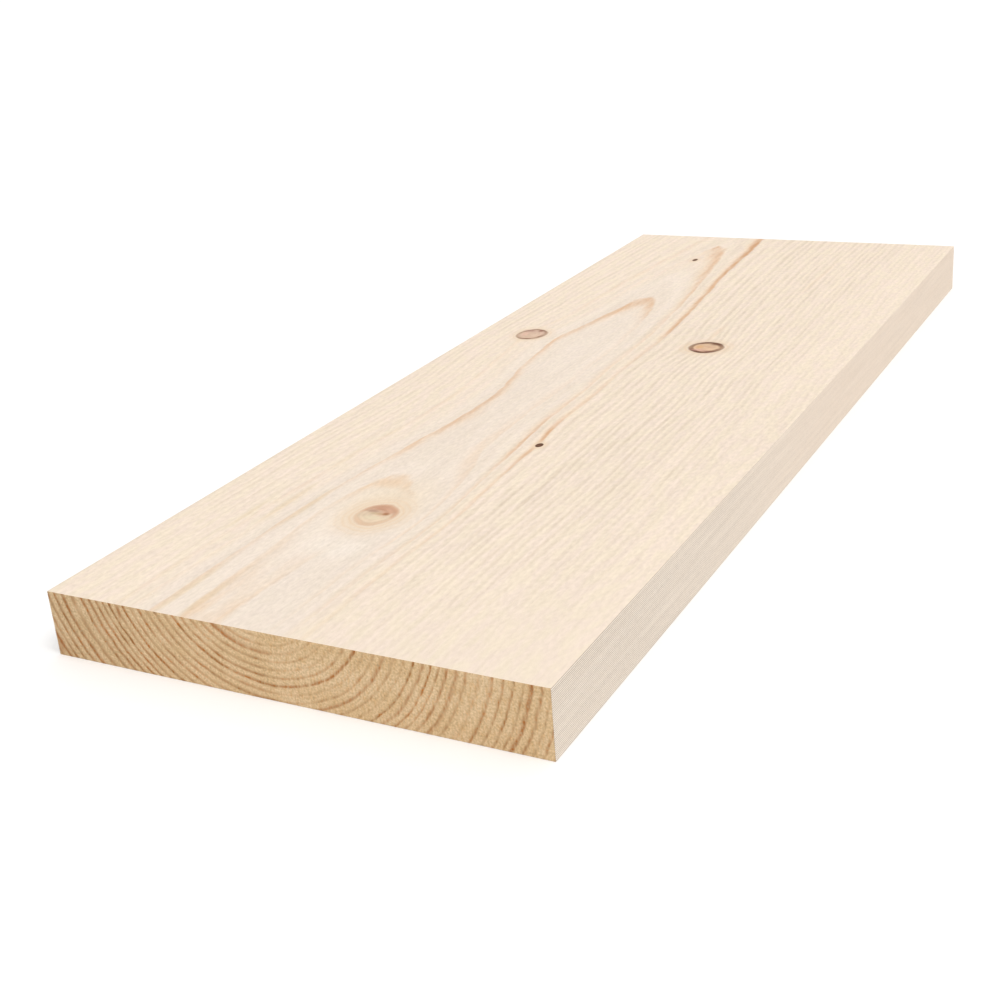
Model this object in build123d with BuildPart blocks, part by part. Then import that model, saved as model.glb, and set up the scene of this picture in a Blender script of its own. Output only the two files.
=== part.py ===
"""Sawn softwood plank: one straight length of timber with a rectangular section and square-cut ends.

The grain runs along X, the width along Y and the thickness along Z.
The origin is the centre of the underside, so the plank lies flat on the plane Z = 0.
"""

import os

from build123d import *

# Driving dimensions, in millimetres
length = 540.0  # along the grain, from one sawn end to the other
width = 195.0  # across the face, from edge to edge
thickness = 25.0  # from the underside to the upper face
long_arris = 0.4  # corner that sawing and handling take off each edge along the grain
end_arris = 0.2  # corner that the crosscut leaves broken round each end

with BuildPart() as plank:
    # The section stands on the underside, with its four corners along the grain just taken off
    with BuildSketch(Plane.YZ.offset(-length / 2)) as section:
        with Locations((0, thickness / 2)):
            Rectangle(width, thickness)
        chamfer(section.vertices(), long_arris)
    extrude(amount=length)

    # The crosscut breaks the rim of both end faces
    end_faces = plank.faces().filter_by(Axis.X)
    chamfer(end_faces.edges(), end_arris)

plank.part.label = "plank"

os.makedirs("parts", exist_ok=True)
export_step(plank.part, "parts/plank.step")
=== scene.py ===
"""Looks of a sawn softwood plank: fine relief, grain and knots, with a floor, soft light and a camera.

Wood places are in millimetres: along from the near end, across from the left edge, up from the underside.
A fade is a pair of values: where something starts to show, and from where on it shows in full.
A weight is how much a noise or a ring adds to the strength of a colour or to the brightness.
"""

import math
from collections import namedtuple

import bpy
import numpy as np
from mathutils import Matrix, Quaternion, Vector, noise


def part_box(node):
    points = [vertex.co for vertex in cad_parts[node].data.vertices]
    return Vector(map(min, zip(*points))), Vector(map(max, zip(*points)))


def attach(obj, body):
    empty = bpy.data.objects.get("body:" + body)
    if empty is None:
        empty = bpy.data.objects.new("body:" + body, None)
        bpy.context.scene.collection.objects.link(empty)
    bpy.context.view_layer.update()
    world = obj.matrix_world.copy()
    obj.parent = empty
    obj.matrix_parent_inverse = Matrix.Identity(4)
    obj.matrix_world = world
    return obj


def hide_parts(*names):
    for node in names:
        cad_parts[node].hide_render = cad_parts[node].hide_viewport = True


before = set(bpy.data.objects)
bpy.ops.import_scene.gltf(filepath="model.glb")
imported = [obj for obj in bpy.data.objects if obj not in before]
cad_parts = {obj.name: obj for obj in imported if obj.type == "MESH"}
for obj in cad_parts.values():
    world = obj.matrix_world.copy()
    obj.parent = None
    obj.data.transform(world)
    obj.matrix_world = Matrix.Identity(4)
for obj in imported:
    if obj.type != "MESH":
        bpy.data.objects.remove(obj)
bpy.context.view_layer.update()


def srgb(red, green, blue):
    """A colour from its screen values of 0 to 255, as linear light."""
    shares = (value / 255 for value in (red, green, blue))
    linear = (s / 12.92 if s <= 0.04045 else ((s + 0.055) / 1.055) ** 2.4 for s in shares)
    return (*linear, 1.0)


# The plank, from the frame
mm = 0.001
low_corner, high_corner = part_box("plank")
length, width, thickness = (high_corner - low_corner) / mm

# Relief of the mesh, in millimetres: how deep it is, how large its lumps are on each axis, and its seed
Relief = namedtuple("Relief", "depth lumps seed")
end_relief = Relief(0.10, (50, 6, 4), 3.7)
ridge_relief = Relief(0.30, (40, 50, 2), 11.3)
face_relief = Relief(0.08, (35, 9, 50), 23.1)
long_arris = 0.4
end_arris = 0.2
arris_share = 0.3  # how far a rounded arris draws in, of its size
ridge_count = 33  # fine ridges that the saw leaves along each long edge
ridge_pitch = (thickness - 2 * long_arris) / ridge_count
ridge_least_share = 0.75  # the shallowest valley, of the usual depth
ridge_change_share = 0.5  # how much deeper than that a valley may be
sharp_angle = 25.0  # degrees from which an edge of the mesh is shaded as sharp

# Grid of the mesh and its bake map, in millimetres
wide_step_along = 3.6
wide_step_across = 2.6
fine_step = 1.0  # between grid lines round a knot
fine_reach = 10.0
step_samples = 4000  # places along a span where the step is worked out
bake_gap = 4.0  # between the sides on the bake map

# Colours of the faces and long edges
cream_yellow = srgb(236, 220, 198)
cream_pink = srgb(236, 218, 201)
flame_grey = srgb(231, 217, 203)
late_tan = srgb(214, 196, 174)
streak_ochre = srgb(219, 196, 162)
glow_orange = srgb(226, 194, 160)
bold_orange = srgb(205, 158, 120)
halo_tan = srgb(228, 204, 176)
edge_cream = srgb(247, 236, 222)
edge_peach = srgb(231, 216, 200)
# The grooves between the ridges are darkened with painted shade and dust
edge_groove_dust_and_shade = srgb(176, 161, 146)

# Colours of the ends
end_early = srgb(221, 188, 142)
end_pale = srgb(219, 191, 152)
end_warm = srgb(216, 168, 108)
end_late = srgb(155, 102, 47)
end_orange = srgb(175, 109, 45)
end_bold = srgb(164, 100, 42)
end_stain = srgb(158, 98, 46)

# Sheen of all the wood
wood_specular = 0.3
roughness_change = 0.1  # that mottling or specks bring
face_roughness = 0.72
edge_roughness = 0.75
end_roughness = 0.8

# Noise in the wood: the size of its lumps in millimetres, and its layers of finer and finer lumps
Lump = namedtuple("Lump", "along across up layers")
fibre_lump = Lump(26, 0.9, 0.9, 3.0)
mottle_lump = Lump(2.8, 1.3, 1.3, 4.0)
wide_waver = Lump(60, 18, 18, 2.0)
short_waver = Lump(9, 4, 4, 3.0)
face_tint = Lump(14, 5, 5, 2.0)
face_streak = Lump(130, 6, 6, 2.0)
face_break = Lump(22, 3, 3, 3.0)
edge_streak = Lump(60, 3, 1.6, 2.0)
end_wide_waver = Lump(50, 16, 9, 2.0)
end_short_waver = Lump(50, 3, 3, 3.0)
end_speck = Lump(3, 0.8, 0.8, 3.0)
end_patch = Lump(50, 12, 9, 2.0)
end_break = Lump(50, 5, 5, 2.0)
end_torn = Lump(50, 0.9, 3.2, 3.0)

# Growth rings of the faces: the pith runs above the upper face, and wanders along the plank
pith_across = ((0, 66), (130, 65.5), (220, 68.5), (300, 63.8), (331, 64), (450, 61.5), (540, 62))
pith_above = (
    (0, 32.3), (40, 32.6), (70, 33.5), (130, 34.5), (220, 35.8), (300, 34.2),
    (331, 35.3), (365, 36.8), (400, 38.2), (470, 42), (540, 44.6),
)
pith_middle = 65.0  # the pith's usual place, from which the knots lead out
pith_height = 35.0
wide_waver_size = 0.9
short_waver_size = 0.4
near_spread = 4.8  # how much farther out the rings lie on the right, up to the middle of the plank
near_spread_fade_along = (215, 130)
near_spread_fade_sideways = (10, 28)  # from the pith
branch_overlap = 3.0  # how far past the pith the left and the right branch of a ring shade over
ring_spacing = 3.1
ring_drift = 0.6  # in years, which makes some rings wider than others
ring_drift_span = 4.0  # in years

# Latewood of a year: when it sets in, when it is darkest, and how much paler it may be by chance
Latewood = namedtuple("Latewood", "start_share crest_share paler_share")
face_latewood = Latewood(0.0, 0.6, 0.4)
end_latewood = Latewood(0.3, 0.75, 0.5)

# Rings whose latewood stands out: radius, how far it shades inwards and outwards, how dark its core is,
# and its strength on the left and on the right branch, which changes along the plank
BoldRing = namedtuple("BoldRing", "radius inwards outwards core left right")
bold_rings = (
    BoldRing(
        33.5, 1.4, 0.5, 0.0,
        left=((0, 0.6), (30, 0.5), (70, 0.3), (105, 0.35), (125, 0.55), (150, 0.2), (170, 0)),
        right=((0, 0.5), (45, 0.3), (70, 0), (108, 0), (125, 0.55), (150, 0.2), (170, 0)),
    ),
    BoldRing(
        38.2, 1.8, 0.4, 0.7,
        left=((0, 0.35), (130, 0.35), (190, 0.7), (300, 0.6), (370, 0.7), (400, 0.75)),
        right=((0, 0.1), (150, 0.3), (200, 0.3), (250, 0.15), (335, 0.15), (365, 0.45), (400, 0.8)),
    ),
    BoldRing(
        43.4, 1.8, 0.5, 0.8,
        left=((0, 0.15), (350, 0.1), (440, 0.15), (485, 0.2), (505, 0.45)),
        right=(
            (0, 0.15), (110, 0.35), (155, 0.5), (187, 0.85), (220, 0.45),
            (330, 0.3), (440, 0.65), (505, 0.65),
        ),
    ),
    BoldRing(
        47.9, 2.3, 0.7, 1.0,
        left=((0, 0.15), (540, 0.2)),
        right=(
            (0, 0.15), (138, 0.4), (190, 0.8), (225, 0.5), (270, 0.35),
            (305, 0.3), (345, 0.75), (540, 1),
        ),
    ),
)
glow_reach_share = 1.1  # of the shading inwards, that the glow takes
core_fade_shares = (0.6, 0.1)  # of the shading inwards, for the core

# Growth rings of the ends. Those of the near end have a middle of their own
near_end_fade_shares = (0.6, 0.4)  # of the length
near_pith_across = 91.3
near_pith_above = 15.5
near_pith_squash = 1.16  # how much wider than high its rings are
near_pith_lean = 0.066  # how far its rings lean to the right for each millimetre of depth
far_pith_across = pith_across[-1][1]
far_pith_above = pith_above[-1][1]
end_wide_waver_size = 0.6
end_short_waver_size = 0.4
end_branch_overlap = 4.0
years_by_distance = (  # rings up to a distance from the middle
    (0, 0.7), (23.4, 7.75), (40.2, 12.75), (63.1, 19.75), (71.4, 22.75),
    (77.8, 24.75), (86.4, 26.75), (108.6, 33.75), (160, 49.5),
)
near_bold_rings = (
    BoldRing(26.9, 3.4, 1.0, 0.5, 0.6, 0.1),
    BoldRing(40.2, 1.6, 0.9, 0.4, 0.05, 0.5),
    BoldRing(50.2, 1.6, 0.9, 0.4, 0.1, 0.65),
    BoldRing(63.1, 1.6, 0.9, 0.4, 0.3, 0.45),
    BoldRing(71.4, 1.6, 0.9, 0.4, 0.4, 0.35),
    BoldRing(75.0, 1.6, 0.9, 0.4, 0.3, 0.45),
    BoldRing(86.4, 1.6, 0.9, 0.4, 0.55, 0.25),
    BoldRing(99.0, 1.8, 1.0, 0.5, 0.8, 0.8),
    BoldRing(102.6, 1.6, 0.9, 0.3, 0.0, 0.35),
)

# How a knot looks: its heart on the near and the far side, its rim, and its tan halo's reach and strength
KnotLook = namedtuple("KnotLook", "near far rim rim_share rim_strength halo_reach halo")
sound_look = KnotLook(srgb(221, 197, 169), srgb(203, 160, 132), srgb(198, 152, 118), 0.22, 0.3, 2.4, 0.9)
pink_look = KnotLook(srgb(211, 180, 156), srgb(210, 178, 156), srgb(130, 90, 62), 0.24, 0.75, 1.9, 0.7)
rimmed_look = KnotLook(srgb(219, 183, 149), srgb(211, 177, 145), srgb(106, 66, 42), 0.30, 0.85, 2.0, 0.9)
pin_look = KnotLook(srgb(104, 68, 44), srgb(96, 60, 38), srgb(92, 58, 36), 0.5, 0.9, 3.2, 1.0)

# Knots on the upper face. Each leads outwards from the pith through the thickness
Knot = namedtuple("Knot", "along across radius_along radius_across pull reach_along reach_across look")
knots = (
    Knot(93.6, 77, 9.4, 7.6, 4.5, 32, 28, sound_look),
    Knot(321.3, 29.2, 8.2, 7.2, 3.0, 24, 17, pink_look),
    Knot(320.4, 123.8, 8.2, 8.0, 3.5, 28, 20, rimmed_look),
    Knot(177.5, 104, 2.1, 1.5, 0.8, 10, 5, pin_look),
    Knot(482.5, 57, 2.4, 1.3, 0.6, 10, 5, pin_look),
)
knot_slant_share = 0.5  # how far a knot leans outwards, of the line that leads to it from the pith
knot_growth_share = 0.012  # how much wider a knot gets for each millimetre of depth

# Finish of every knot. Shares are of the knot's radius, where nothing else is said
knot_lumps = 0.9  # lumps of its outline to a radius
knot_lump_height = 40.0
outline_uneven_share = 0.12
knot_wave = 21.0  # radians of its rings to a radius
knot_wave_drift = 3.0
halo_ring_fade_shares = (0.7, 1.0)  # of a ring's strength
halo_least_share = 0.6  # of its strength, between the rings
halo_glow_share = 0.3  # of its strength, on the rings
heart_turn_fade_shares = (-0.1, 0.4)
heart_fade_shares = (1.15, 0.88)
heart_ring_weight = 0.08
heart_uneven_weight = 0.2
heart_brightness = 0.96
rim_full_share = 0.4  # of the rim, where it is darkest
rim_uneven_share = 0.25
rim_fade_shares = (1.16, 1.0)
rim_uneven_weight = 0.6
rim_end_weight = 0.5  # towards the near and the far side
rim_weight = 0.7

# Soft marks on the ground of the upper face, on the hearts of its knots and on the near end:
# middle and reach on the axes along and across, or on the end across and up, strength and colour
Mark = namedtuple("Mark", "first second reach_first reach_second strength colour")
ground_marks = (
    Mark(64.0, 79.0, 13.0, 18.0, 0.6, srgb(238, 226, 212)),
    Mark(104.0, 74.0, 36.0, 24.0, 0.8, srgb(231, 213, 188)),
    Mark(122.5, 65.0, 7.0, 10.0, 0.5, glow_orange),
    Mark(345.0, 120.5, 20.0, 2.4, 0.35, glow_orange),
    Mark(458.0, 139.5, 50.0, 1.8, 0.25, glow_orange),
    Mark(80.0, 28.0, 20.0, 1.8, 0.4, streak_ochre),
    Mark(95.0, 36.5, 28.0, 2.2, 0.5, streak_ochre),
    Mark(16.0, 47.5, 36.0, 2.6, 0.55, streak_ochre),
    Mark(92.0, 46.5, 30.0, 2.4, 0.5, streak_ochre),
    Mark(14.0, 58.5, 22.0, 2.8, 0.6, streak_ochre),
)
heart_marks = (
    Mark(91.0, 77.0, 2.8, 6.5, 0.6, srgb(224, 209, 177)),
    Mark(99.0, 76.0, 4.5, 4.0, 0.35, srgb(178, 124, 94)),
    Mark(94.8, 76.5, 1.6, 5.0, 0.4, srgb(176, 148, 102)),
    Mark(95.4, 80.2, 1.9, 2.2, 0.8, srgb(158, 104, 60)),
    Mark(96.6, 73.6, 1.8, 3.8, 0.6, srgb(160, 118, 98)),
    Mark(316.0, 121.5, 2.6, 6.0, 0.6, srgb(212, 160, 146)),
    Mark(320.8, 120.4, 4.0, 3.0, 0.6, srgb(212, 164, 112)),
    Mark(321.5, 125.2, 2.4, 3.4, 0.5, srgb(200, 158, 130)),
    Mark(326.6, 127.0, 2.8, 4.6, 0.8, srgb(110, 70, 46)),
    Mark(314.8, 126.4, 2.4, 4.6, 0.5, srgb(142, 98, 84)),
    Mark(320.8, 25.6, 5.0, 2.6, 0.55, srgb(228, 186, 166)),
    Mark(326.4, 25.6, 2.8, 5.0, 0.5, srgb(172, 130, 118)),
    Mark(327.4, 31.4, 2.4, 2.2, 0.7, srgb(140, 90, 74)),
    Mark(320.0, 31.2, 4.0, 2.6, 0.45, srgb(222, 194, 170)),
    Mark(315.2, 33.6, 3.4, 3.2, 0.5, srgb(206, 176, 150)),
)
end_marks = (
    Mark(32.0, 22.0, 1.2, 4.0, 0.6, end_stain),
    Mark(1.5, 4.0, 3.0, 5.5, 0.5, end_stain),
)
mark_fade_shares = (1.0, 0.2)  # of a mark's reach

# Figure of the upper face and underside: fades in millimetres, or in values of noise for the tint
tint_fade = (-0.3, 0.3)
flame_fade = (48, 37)  # from the pith
flame_share = 0.7
flame_hiding_share = 0.6  # of the yearly rings
upper_fade = (4, 1)  # below the upper face
rings_near_fade = (20, 140)
rings_near_share = 0.55  # of their strength, at the near end
rings_right_fade = (190, 145)
rings_right_share = 0.4  # of their strength, at the right edge
rings_left_fade = (40, 95)
rings_left_share = 0.65  # of their strength, at the left edge
rings_break_weight = 0.9
rings_weight = 0.55
bold_weight = 0.85
calm_fade = (100, 10)  # from the near right corner, where the face is plainer
calm_slant_share = 0.6  # how much a millimetre across counts of one along
calm_share = 0.45
face_streak_weight = 0.06
face_fibre_weight = 0.05
face_mottle_weight = 0.16

# Fine relief of the upper face and underside, in millimetres
face_fibre_height = 0.05
face_mottle_height = 0.12
face_bold_height = 0.03
saw_height = 0.01
saw_slant_share = 0.18
saw_wave = 5.2  # radians of the saw's marks to a millimetre
saw_drift = 2.5

# Figure, painted shade and dust in the grooves, and fine relief of the long edges
edge_far_fade = (40, 320)  # along the plank
groove_dust_and_shade_streak_weight = 0.4
groove_dust_and_shade_far_share = 0.75  # how much of the grooves' painted shade and dust is gone at the far end
edge_late_weight = 0.07
edge_fibre_weight = 0.03
edge_mottle_weight = 0.065
edge_streak_weight = 0.02
edge_mottle_height = 0.06
edge_fibre_height = 0.03

# Figure and fine relief of the ends: fades in millimetres, or in values of noise for tints and torn fibres
end_tint_fade = (-0.5, 0.5)
end_ring_tint_fade = (-0.2, 0.3)
torn_fade = (-0.05, 0.35)
torn_share = 0.38
torn_hiding_share = 0.6  # how much fainter torn fibres are on the left
rings_out_fade = (20, 40)  # from the middle of the rings
rings_middle_share = 0.6  # of their strength, in the middle
end_right_share = 0.78  # of their strength, on the right
end_glow_share = 0.5
end_ring_speck_weight = 1.2
end_ring_break_weight = 0.9
end_ring_torn_weight = 1.1
end_ring_weight = 0.8
sunned_fade = (70, 0)  # towards the left edge, where the near end is darker
end_speck_weight = 0.5
end_torn_weight = 0.1
end_patch_weight = 0.12
end_sunned_weight = 0.09
end_brightness = 0.92
stain_speck_weight = 0.5
stain_weight = 0.8
end_speck_height = 0.12
end_late_height = 0.01
end_bold_height = 0.01

# Floor, light and camera, in metres and degrees, with the lens in millimetres
floor_radius = 24.0
floor_grey = (0.96, 0.96, 0.96, 1.0)
floor_roughness = 0.9
floor_specular = 0.1
sweep_reach = 6.0
sweep_height = 4.0
sweep_sides = 96
sweep_steps = 13
world_white = (1.0, 1.0, 1.0, 1.0)
world_strength = 0.72
key_strength = 1.48
key_spread = 40.0
key_direction = (-0.20, -0.40, 0.89)
camera_target = (-0.1233, -0.0032, 0.0125)
camera_distance = 0.593
camera_azimuth = -60.62
camera_elevation = 22.58
camera_roll = -4.70
camera_lens = 53.43


class Field:
    """A number or colour that varies over the wood: a node's output. Arithmetic on it makes Math nodes."""

    def __init__(self, tree, socket):
        self.tree = tree
        self.socket = socket

    def __add__(self, other):
        return calculate("ADD", self, other)

    __radd__ = __add__

    def __sub__(self, other):
        return calculate("SUBTRACT", self, other)

    def __rsub__(self, other):
        return calculate("SUBTRACT", other, self)

    def __mul__(self, other):
        return calculate("MULTIPLY", self, other)

    __rmul__ = __mul__

    def __truediv__(self, other):
        return calculate("DIVIDE", self, other)


def feed(socket, value):
    """Links a field to a socket, or sets a plain value on it."""
    if isinstance(value, Field):
        value.tree.links.new(value.socket, socket)
    else:
        socket.default_value = value


def calculate(operation, *values):
    """A Math node over fields and plain numbers."""
    tree = next(value.tree for value in values if isinstance(value, Field))
    node = tree.nodes.new("ShaderNodeMath")
    node.operation = operation
    for socket, value in zip(node.inputs, values):
        feed(socket, value)
    return Field(tree, node.outputs[0])


def smooth_step(field, start, end):
    """0 up to start and 1 from end on, with a smooth change between."""
    node = field.tree.nodes.new("ShaderNodeMapRange")
    node.interpolation_type = "SMOOTHSTEP"
    feed(node.inputs["Value"], field)
    node.inputs["From Min"].default_value = start
    node.inputs["From Max"].default_value = end
    return Field(field.tree, node.outputs["Result"])


def at_least(least_share, share):
    """A share of 0 to 1, drawn up so that it starts at the least one."""
    return share * (1.0 - least_share) + least_share


def as_share(wave):
    """A wave of -1 to 1, as a share of 0 to 1."""
    return wave * 0.5 + 0.5


def apart(first, second):
    """How far away a point is that lies this far off on two axes."""
    return calculate("SQRT", first * first + second * second)


def drawn_curve(field, points):
    """The value of a smooth curve that is drawn through (place, value) points."""
    places, values = zip(*points)
    start, span = places[0], places[-1] - places[0]
    lowest, rise = min(values), max(values) - min(values)
    spots = [((place - start) / span, (value - lowest) / rise) for place, value in points]
    node = field.tree.nodes.new("ShaderNodeFloatCurve")
    curve = node.mapping.curves[0]
    curve.points[0].location = spots[0]
    curve.points[1].location = spots[-1]
    for spot in spots[1:-1]:
        curve.points.new(*spot)
    node.mapping.update()
    feed(node.inputs["Value"], (field - start) / span)
    return Field(field.tree, node.outputs["Value"]) * rise + lowest


def roughly(x, y, z, layers=2.0):
    """Smooth noise about 0, mostly within 0.5 of it, with one lump to a unit of each field."""
    tree = x.tree
    vector = tree.nodes.new("ShaderNodeCombineXYZ")
    for socket, value in zip(vector.inputs, (x, y, z)):
        feed(socket, value)
    node = tree.nodes.new("ShaderNodeTexNoise")
    node.inputs["Scale"].default_value = 1.0
    node.inputs["Detail"].default_value = layers
    tree.links.new(vector.outputs[0], node.inputs["Vector"])
    return Field(tree, node.outputs["Fac"]) * 2.0 - 1.0


def drawn_lot(field):
    """A random value from 0 to 1 for each whole number that the field passes."""
    node = field.tree.nodes.new("ShaderNodeTexWhiteNoise")
    node.noise_dimensions = "1D"
    feed(node.inputs["W"], calculate("FLOOR", field))
    return Field(field.tree, node.outputs["Value"])


# Sockets of a Mix node that serve colours
colour_mix_inputs = (0, 6, 7)
colour_mix_output = 2


def blend(share, first, second):
    """The first colour where the share is 0, and the second where it is 1."""
    node = share.tree.nodes.new("ShaderNodeMix")
    node.data_type = "RGBA"
    for socket, value in zip(colour_mix_inputs, (share, first, second)):
        feed(node.inputs[socket], value)
    return Field(share.tree, node.outputs[colour_mix_output])


def brightened(colour, factor):
    """The colour times a factor."""
    node = factor.tree.nodes.new("ShaderNodeVectorMath")
    node.operation = "SCALE"
    feed(node.inputs[0], colour)
    feed(node.inputs["Scale"], factor)
    return Field(factor.tree, node.outputs[0])


Place = namedtuple("Place", "along across up depth")


def wood_place(tree):
    """Where a point of the wood is, in millimetres."""
    node = tree.nodes.new("ShaderNodeTexCoord")
    split = tree.nodes.new("ShaderNodeSeparateXYZ")
    tree.links.new(node.outputs["Object"], split.inputs[0])
    x, y, z = (Field(tree, output) / mm for output in split.outputs)
    return Place(x + length / 2, width / 2 - y, z, thickness - z)


def on_faces(place, lump):
    """Noise in lumps of one size, for the faces and long edges."""
    return roughly(place.along / lump.along, place.across / lump.across, place.up / lump.up, lump.layers)


def on_ends(place, lump):
    """Noise in lumps of one size, for the ends. Its axes are turned, so it isn't the faces' noise."""
    return roughly(place.across / lump.across, place.up / lump.up, place.along / lump.along, lump.layers)


def from_knot(place, knot):
    """How far a point is along and across from the middle of a knot, at the point's own depth."""
    slant = knot_slant_share * (knot.across - pith_middle) / pith_height
    return place.along - knot.along, place.across - place.depth * slant - knot.across


def knot_pull(place):
    """How far the knots draw the growth rings out round them, in millimetres."""
    pull = 0.0
    for knot in knots:
        along, across = from_knot(place, knot)
        along = along / knot.reach_along
        across = across / knot.reach_across
        pull = calculate("EXPONENT", (along * along + across * across) * -1.0) * knot.pull + pull
    return pull


def bold_line(distance, ring):
    """The glow and the dark core of one ring. Both build up from its inside and stop at its outer side."""
    inside = ring.radius - distance
    stop = smooth_step(inside, -ring.outwards, 0)
    glow = smooth_step(inside, ring.inwards * glow_reach_share, 0) * stop
    core_start, core_full = (ring.inwards * share for share in core_fade_shares)
    core = smooth_step(inside, core_start, core_full) * stop * ring.core
    return glow, core


def yearly_rings(years, latewood):
    """How dark the latewood of each year is, from 0 to 1."""
    share = calculate("FRACT", years)
    crest = latewood.crest_share
    late = smooth_step(share, latewood.start_share, crest) * smooth_step(share, 1, crest)
    return late * (1.0 - drawn_lot(years) * latewood.paler_share)


Grain = namedtuple("Grain", "distance late glow bold fibre mottle")


def face_grain(place):
    """Growth rings, fibres and mottling of the wood as the faces and long edges show them."""
    waver = on_faces(place, wide_waver) * wide_waver_size
    waver = waver + on_faces(place, short_waver) * short_waver_size
    sideways = place.across - drawn_curve(place.along, pith_across)
    downwards = place.depth + drawn_curve(place.along, pith_above)
    spread = smooth_step(place.along, *near_spread_fade_along) * near_spread
    spread = smooth_step(sideways, *near_spread_fade_sideways) * spread
    distance = apart(sideways, downwards) - knot_pull(place) - spread + waver
    left = smooth_step(sideways, branch_overlap, -branch_overlap)
    glow = 0.0
    bold = 0.0
    for ring in bold_rings:
        on_left = drawn_curve(place.along, ring.left)
        on_right = drawn_curve(place.along, ring.right)
        strength = on_right + (on_left - on_right) * left
        ring_glow, ring_bold = bold_line(distance, ring)
        glow = calculate("MAXIMUM", ring_glow * strength, glow)
        bold = calculate("MAXIMUM", ring_bold * strength * strength, bold)
    years = distance / ring_spacing
    years = years + roughly(years / ring_drift_span, 0.0, 0.0) * ring_drift
    late = yearly_rings(years, face_latewood)
    return Grain(distance, late, glow, bold, on_faces(place, fibre_lump), on_faces(place, mottle_lump))


def new_material(name):
    """An empty wood material, with its node tree and shader."""
    material = bpy.data.materials.new(name)
    material.use_nodes = True
    shader = material.node_tree.nodes["Principled BSDF"]
    shader.inputs["Specular IOR Level"].default_value = wood_specular
    return material, material.node_tree, shader


def finish_surface(shader, colour, roughness, height):
    """Joins colour, roughness and a height in millimetres to the shader."""
    tree = colour.tree
    bump = tree.nodes.new("ShaderNodeBump")
    bump.inputs["Distance"].default_value = mm
    feed(bump.inputs["Height"], height)
    feed(shader.inputs["Base Color"], colour)
    feed(shader.inputs["Roughness"], roughness)
    tree.links.new(bump.outputs["Normal"], shader.inputs["Normal"])


def with_knot(colour, place, knot):
    """Lays one knot over the colour: its halo, its heart with rings of its own, and its rim."""
    look = knot.look
    along, across = from_knot(place, knot)
    grown = place.depth * knot_growth_share + 1.0
    along = along / (grown * knot.radius_along)
    across = across / (grown * knot.radius_across)
    uneven = roughly(along * knot_lumps, across * knot_lumps, place.up / knot_lump_height + knot.along)
    reach = apart(along, across) + uneven * outline_uneven_share
    ring = as_share(calculate("SINE", reach * knot_wave + uneven * knot_wave_drift))

    halo = smooth_step(reach, look.halo_reach, 1.0) * at_least(halo_least_share, ring) * look.halo
    colour = blend(halo, colour, halo_tan)
    glow = halo * smooth_step(ring, *halo_ring_fade_shares) * halo_glow_share
    colour = blend(glow, colour, glow_orange)

    heart = blend(smooth_step(along + uneven, *heart_turn_fade_shares), look.near, look.far)
    heart = brightened(heart, ring * heart_ring_weight + uneven * heart_uneven_weight + heart_brightness)
    colour = blend(smooth_step(reach, *heart_fade_shares), colour, heart)

    rim_start = 1.0 - look.rim_share
    rim_full = 1.0 - look.rim_share * rim_full_share
    rim = smooth_step(reach + uneven * rim_uneven_share, rim_start, rim_full)
    rim = rim * smooth_step(reach, *rim_fade_shares)
    rim = rim * (uneven * rim_uneven_weight + along * along * rim_end_weight + rim_weight)
    return blend(rim * look.rim_strength, colour, look.rim)


def with_mark(colour, first, second, mark, shown):
    """Lays one soft mark over the colour, where it is shown."""
    first = (first - mark.first) / mark.reach_first
    second = (second - mark.second) / mark.reach_second
    share = smooth_step(apart(first, second), *mark_fade_shares)
    return blend(share * shown * mark.strength, colour, mark.colour)


def rings_shown(place, flame):
    """How clearly the yearly rings show: less at the near end, by both edges and in the flame."""
    shown = at_least(rings_near_share, smooth_step(place.along, *rings_near_fade))
    shown = shown * at_least(rings_right_share, smooth_step(place.across, *rings_right_fade))
    shown = shown * at_least(rings_left_share, smooth_step(place.across, *rings_left_fade))
    return shown * (1.0 - flame * flame_hiding_share)


def saw_marks(place, mottle):
    """The fine waves of -1 to 1 that the saw leaves across the faces."""
    slanted = place.along + place.across * saw_slant_share
    return calculate("SINE", slanted * saw_wave + mottle * saw_drift)


def sawn_face():
    """Upper face and underside: pale flat-sawn wood with its flame, fine mottling and knots."""
    material, tree, shader = new_material("sawn_face")
    place = wood_place(tree)
    grain = face_grain(place)
    flame = smooth_step(grain.distance, *flame_fade)
    streak = on_faces(place, face_streak)
    broken = on_faces(place, face_break)
    colour = blend(smooth_step(on_faces(place, face_tint), *tint_fade), cream_yellow, cream_pink)
    colour = blend(flame * flame_share, colour, flame_grey)
    upper = smooth_step(place.depth, *upper_fade)
    for mark in ground_marks:
        colour = with_mark(colour, place.along, place.across, mark, upper)

    from_corner = place.along + (width - place.across) * calm_slant_share
    lively = 1.0 - smooth_step(from_corner, *calm_fade) * calm_share
    late = grain.late * (broken * rings_break_weight + rings_weight) * rings_shown(place, flame) * lively
    colour = blend(late, colour, late_tan)
    colour = blend(grain.glow * (broken + bold_weight), colour, glow_orange)
    colour = blend(grain.bold * (broken + bold_weight), colour, bold_orange)
    rough = streak * face_streak_weight + grain.fibre * face_fibre_weight
    rough = rough + grain.mottle * face_mottle_weight
    colour = brightened(colour, rough * lively + 1.0)

    for knot in knots:
        colour = with_knot(colour, place, knot)
    for mark in heart_marks:
        colour = with_mark(colour, place.along, place.across, mark, upper)
    height = grain.fibre * face_fibre_height + grain.mottle * face_mottle_height
    height = height + grain.bold * face_bold_height + saw_marks(place, grain.mottle) * saw_height
    finish_surface(shader, colour, grain.mottle * roughness_change + face_roughness, height)
    return material


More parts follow.
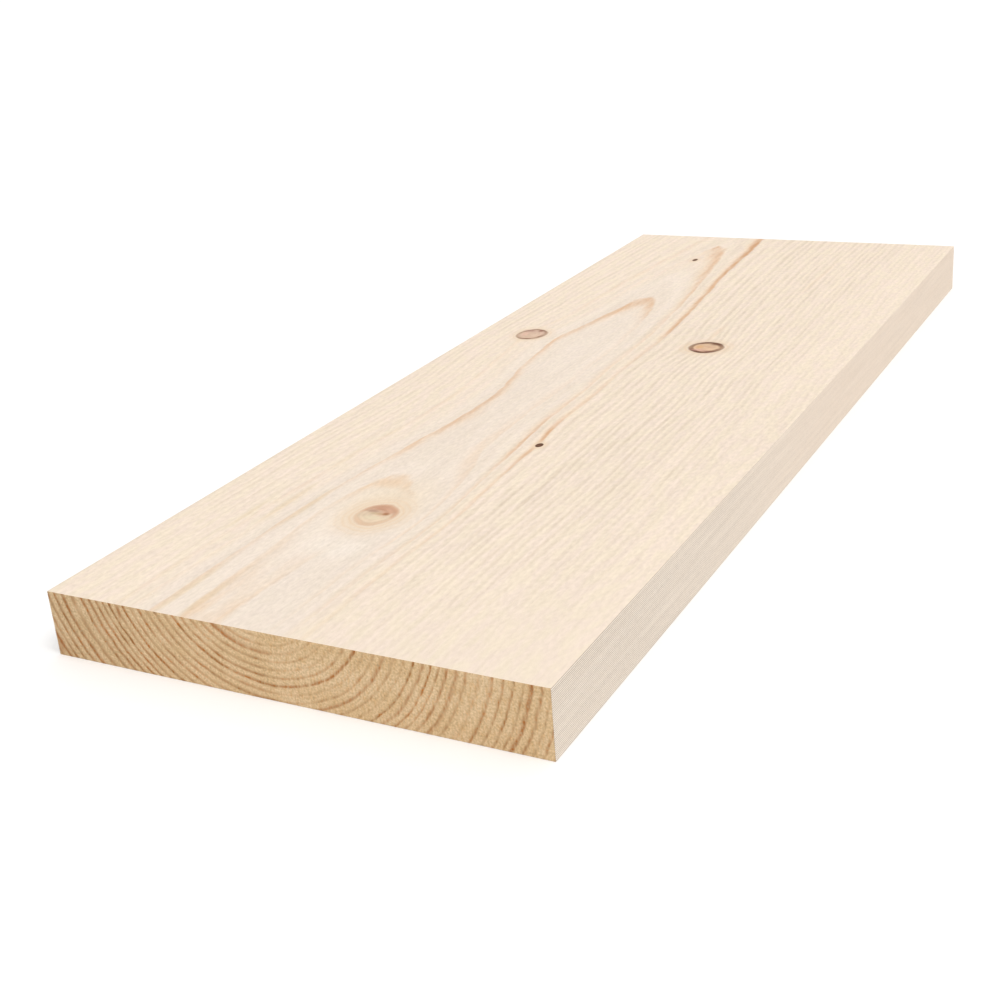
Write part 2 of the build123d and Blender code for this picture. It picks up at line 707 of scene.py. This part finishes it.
def ribbed_edge():
    """Long edges: pinkish cream wood with fine ridges that run along the plank, and painted shade and dust
    in their grooves.
    """
    material, tree, shader = new_material("ribbed_edge")
    place = wood_place(tree)
    grain = face_grain(place)
    # Painted shade and dust: a share that is 1 in the valleys between the ridges, where the mesh lies
    # deepest
    groove_dust_and_shade = as_share(calculate("COSINE", (place.up - long_arris) * (2 * math.pi / ridge_pitch)))
    streak = on_faces(place, edge_streak)
    far = smooth_step(place.along, *edge_far_fade)
    colour = blend(far, edge_cream, edge_peach)
    groove_dust_and_shade = groove_dust_and_shade * (streak * groove_dust_and_shade_streak_weight + 1.0 - far * groove_dust_and_shade_far_share)
    colour = blend(groove_dust_and_shade, colour, edge_groove_dust_and_shade)
    colour = blend(grain.late * edge_late_weight, colour, late_tan)
    rough = grain.fibre * edge_fibre_weight + grain.mottle * edge_mottle_weight
    colour = brightened(colour, rough + streak * edge_streak_weight + 1.0)
    height = grain.mottle * edge_mottle_height + grain.fibre * edge_fibre_height
    finish_surface(shader, colour, grain.mottle * roughness_change + edge_roughness, height)
    return material


def end_middle(place, near):
    """How far a point of an end is from the middle of its rings, and a share that is 1 on their left."""
    waver = on_ends(place, end_wide_waver) * end_wide_waver_size
    waver = waver + on_ends(place, end_short_waver) * end_short_waver_size
    near_sideways = place.across - place.depth * near_pith_lean - near_pith_across
    near_downwards = (place.depth + near_pith_above) * near_pith_squash
    far_sideways = place.across - far_pith_across
    far_downwards = place.depth + far_pith_above
    sideways = far_sideways + (near_sideways - far_sideways) * near
    downwards = far_downwards + (near_downwards - far_downwards) * near
    left = smooth_step(sideways, end_branch_overlap, -end_branch_overlap)
    return apart(sideways, downwards) + waver, left


def end_grain():
    """Sawn ends: darker wood that shows every growth ring, with short rough fibres."""
    material, tree, shader = new_material("end_grain")
    place = wood_place(tree)
    near = smooth_step(place.along, *(length * share for share in near_end_fade_shares))
    distance, left = end_middle(place, near)
    late = yearly_rings(drawn_curve(distance, years_by_distance), end_latewood)
    late = late * (late + (1.0 - late) * left)  # thinner on the right
    bold = 0.0
    for ring in near_bold_rings:
        strength = left * (ring.left - ring.right) + ring.right
        glow, core = bold_line(distance, ring)
        bold = calculate("MAXIMUM", (glow * end_glow_share + core) * strength, bold)

    speck = on_ends(place, end_speck)
    patch = on_ends(place, end_patch)
    broken = on_ends(place, end_break)
    torn = on_ends(place, end_torn) * (1.0 - left * torn_hiding_share)
    colour = blend(smooth_step(speck + patch, *end_tint_fade), end_early, end_pale)
    colour = blend(smooth_step(torn, *torn_fade) * torn_share, colour, end_warm)

    clear = at_least(rings_middle_share, smooth_step(distance, *rings_out_fade))
    clear = clear * at_least(end_right_share, left)
    drawn = speck * end_ring_speck_weight + broken * end_ring_break_weight
    drawn = drawn + torn * end_ring_torn_weight + end_ring_weight
    ring_colour = blend(smooth_step(patch, *end_ring_tint_fade), end_late, end_orange)
    colour = blend(late * clear * drawn, colour, ring_colour)
    colour = blend(bold * drawn, colour, end_bold)

    sunned = smooth_step(place.across, *sunned_fade) * near
    rough = speck * end_speck_weight - torn * end_torn_weight + patch * end_patch_weight
    colour = brightened(colour, rough - sunned * end_sunned_weight + end_brightness)
    stained = near * (speck * stain_speck_weight + stain_weight)
    for mark in end_marks:
        colour = with_mark(colour, place.across, place.up, mark, stained)
    height = speck * end_speck_height + late * end_late_height + bold * end_bold_height
    finish_surface(shader, colour, speck * roughness_change + end_roughness, height)
    return material


def graded_lines(span, arris, wide_step, fine_places):
    """Grid lines across a span: at its ends and arrises, and between them closer round fine places."""
    sample = np.linspace(arris, span - arris, step_samples)
    offsets = (sample[:, None] - np.array(fine_places)) / fine_reach
    nearness = np.exp(-(offsets**2)).max(axis=1)
    steps = wide_step + (fine_step - wide_step) * nearness
    count = np.cumsum((sample[1] - sample[0]) / steps)
    lines = np.interp(np.linspace(count[0], count[-1], round(count[-1]) + 1), count, sample)
    return np.concatenate(([0.0], lines, [span]))


def ridge_lines():
    """Grid lines up the thickness: the valleys and the crests of the ridges, and the arrises."""
    turns = np.linspace(long_arris, thickness - long_arris, 2 * ridge_count + 1)
    return np.concatenate(([0.0], turns, [thickness]))


def box_surface(lines):
    """A closed box on grid lines: vertices, the side of each on every axis, quads, and their sides."""
    shape = tuple(len(axis_lines) for axis_lines in lines)
    index = np.indices(shape)
    sides = np.array([(at == size - 1).astype(int) - (at == 0) for at, size in zip(index, shape)])
    outside = (sides != 0).any(axis=0)
    number = np.full(shape, -1)
    number[outside] = np.arange(outside.sum())
    places = np.stack([axis_lines[at[outside]] for axis_lines, at in zip(lines, index)], axis=1)
    quads = []
    quad_sides = []
    for axis in range(3):
        for end in (0, -1):
            grid = np.take(number, end, axis=axis)
            corners = [grid[:-1, :-1], grid[1:, :-1], grid[1:, 1:], grid[:-1, 1:]]
            if (end == 0) != (axis == 1):
                corners.reverse()
            found = np.stack(corners, axis=-1).reshape(-1, 4)
            quads.append(found)
            quad_sides += [(axis, end)] * len(found)
    return places, sides[:, outside].T, np.concatenate(quads), quad_sides


def lumps(places, relief):
    """Smooth noise from 0 to 1 at each place, in the relief's lumps."""
    spots = places / np.array(relief.lumps) + relief.seed
    return as_share(np.array([noise.noise(spot) for spot in spots.tolist()]))


def drawn_in(places, sides):
    """How far each vertex lies inside the plank's box on each axis: relief, ridges and rounded arrises."""
    shift = np.zeros_like(places)
    shift[:, 0] = end_relief.depth * lumps(places, end_relief)
    valley = as_share(np.cos((places[:, 2] - long_arris) * 2 * np.pi / ridge_pitch))
    valley[sides[:, 2] != 0] = 0
    deeper = ridge_least_share + ridge_change_share * lumps(places, ridge_relief)
    shift[:, 1] = ridge_relief.depth * valley * deeper
    shift[:, 2] = face_relief.depth * lumps(places, face_relief)
    rounding = np.where(sides[:, 0] != 0, end_arris, long_arris) * arris_share
    on_arris = (sides != 0).sum(axis=1) > 1
    shift[on_arris] += rounding[on_arris, None]
    return shift * (sides != 0)


def lay_out_bake_map(mesh, places, quads, quad_sides):
    """A flat map of the six sides, each at one scale, with none over another."""
    sheet = length + 2 * bake_gap
    heights = (width, width, thickness, thickness, thickness)
    rows = np.cumsum([bake_gap] + [height + bake_gap for height in heights])
    corners = {
        (2, -1): (bake_gap, rows[0]),
        (2, 0): (bake_gap, rows[1]),
        (1, 0): (bake_gap, rows[2]),
        (1, -1): (bake_gap, rows[3]),
        (0, 0): (bake_gap, rows[4]),
        (0, -1): (2 * bake_gap + width, rows[4]),
    }
    flat_axes = {0: (1, 2), 1: (0, 2), 2: (0, 1)}
    flat = np.empty((len(quads), 4, 2))
    for side, corner in corners.items():
        here = np.array([quad_side == side for quad_side in quad_sides])
        flat[here] = places[quads[here]][:, :, flat_axes[side[0]]] + np.array(corner)
    layer = mesh.uv_layers.new(name="OFBake")
    layer.uv.foreach_set("vector", (flat / sheet).astype(np.float32).ravel())


def plank_piece():
    """The plank as one closed mesh, with its relief, materials and bake map."""
    lines_along = graded_lines(length, end_arris, wide_step_along, [knot.along for knot in knots])
    lines_across = graded_lines(width, long_arris, wide_step_across, [knot.across for knot in knots])
    lines_y = np.sort(width - lines_across)
    places, sides, quads, quad_sides = box_surface((lines_along, lines_y, ridge_lines()))
    shaped = places - sides * drawn_in(places, sides)
    corner = np.array(low_corner)
    mesh = bpy.data.meshes.new("plank_timber")
    mesh.from_pydata((corner + shaped * mm).tolist(), [], quads.tolist())
    for material in (end_grain(), ribbed_edge(), sawn_face()):
        mesh.materials.append(material)
    mesh.polygons.foreach_set("material_index", [axis for axis, end in quad_sides])
    lay_out_bake_map(mesh, places, quads, quad_sides)
    mesh.shade_smooth()
    mesh.set_sharp_from_angle(angle=math.radians(sharp_angle))
    piece = bpy.data.objects.new("plank_timber", mesh)
    bpy.context.scene.collection.objects.link(piece)
    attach(piece, "root")
    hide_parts("plank")


def studio_floor():
    """A plain pale floor, far larger than the view, that sweeps up to a low wall all round."""
    turns = np.linspace(0, 2 * np.pi, sweep_sides, endpoint=False)
    bends = np.linspace(0, np.pi / 2, sweep_steps)
    radii = floor_radius + sweep_reach * np.sin(bends)
    heights = sweep_height * (1 - np.cos(bends))
    vertices = []
    for radius, height in zip(radii, heights):
        vertices += [(radius * math.cos(turn), radius * math.sin(turn), height) for turn in turns]
    faces = [tuple(range(sweep_sides))]
    for step in range(sweep_steps - 1):
        first = step * sweep_sides
        for side in range(sweep_sides):
            lower = first + side
            lower_after = first + (side + 1) % sweep_sides
            faces.append((lower_after, lower, lower + sweep_sides, lower_after + sweep_sides))
    mesh = bpy.data.meshes.new("floor")
    mesh.from_pydata(vertices, [], faces)
    mesh.shade_smooth()
    mesh.polygons[0].use_smooth = False
    material = bpy.data.materials.new("floor")
    material.use_nodes = True
    shader = material.node_tree.nodes["Principled BSDF"]
    shader.inputs["Base Color"].default_value = floor_grey
    shader.inputs["Roughness"].default_value = floor_roughness
    shader.inputs["Specular IOR Level"].default_value = floor_specular
    mesh.materials.append(material)
    floor = bpy.data.objects.new("floor", mesh)
    bpy.context.scene.collection.objects.link(floor)


def studio_light():
    """An even white surround, and one broad soft light from above the near corner."""
    scene = bpy.context.scene
    scene.world = bpy.data.worlds.new("studio")
    scene.world.use_nodes = True
    background = scene.world.node_tree.nodes["Background"]
    background.inputs["Color"].default_value = world_white
    background.inputs["Strength"].default_value = world_strength
    light = bpy.data.lights.new("key", "SUN")
    light.energy = key_strength
    light.angle = math.radians(key_spread)
    key = bpy.data.objects.new("key", light)
    key.rotation_euler = (-Vector(key_direction)).to_track_quat("-Z", "Y").to_euler()
    scene.collection.objects.link(key)
    scene.view_settings.view_transform = "Standard"


def studio_camera():
    """A camera at the photograph's place, tilted a little about its line of sight."""
    azimuth = math.radians(camera_azimuth)
    elevation = math.radians(camera_elevation)
    level = math.cos(elevation)
    back = Vector((math.sin(azimuth) * level, -math.cos(azimuth) * level, math.sin(elevation)))
    data = bpy.data.cameras.new("camera")
    data.lens = camera_lens
    camera = bpy.data.objects.new("camera", data)
    camera.location = Vector(camera_target) + back * camera_distance
    roll = Quaternion((0, 0, 1), math.radians(camera_roll))
    camera.rotation_euler = ((-back).to_track_quat("-Z", "Y") @ roll).to_euler()
    bpy.context.scene.collection.objects.link(camera)
    bpy.context.scene.camera = camera


plank_piece()
studio_floor()
studio_light()
studio_camera()
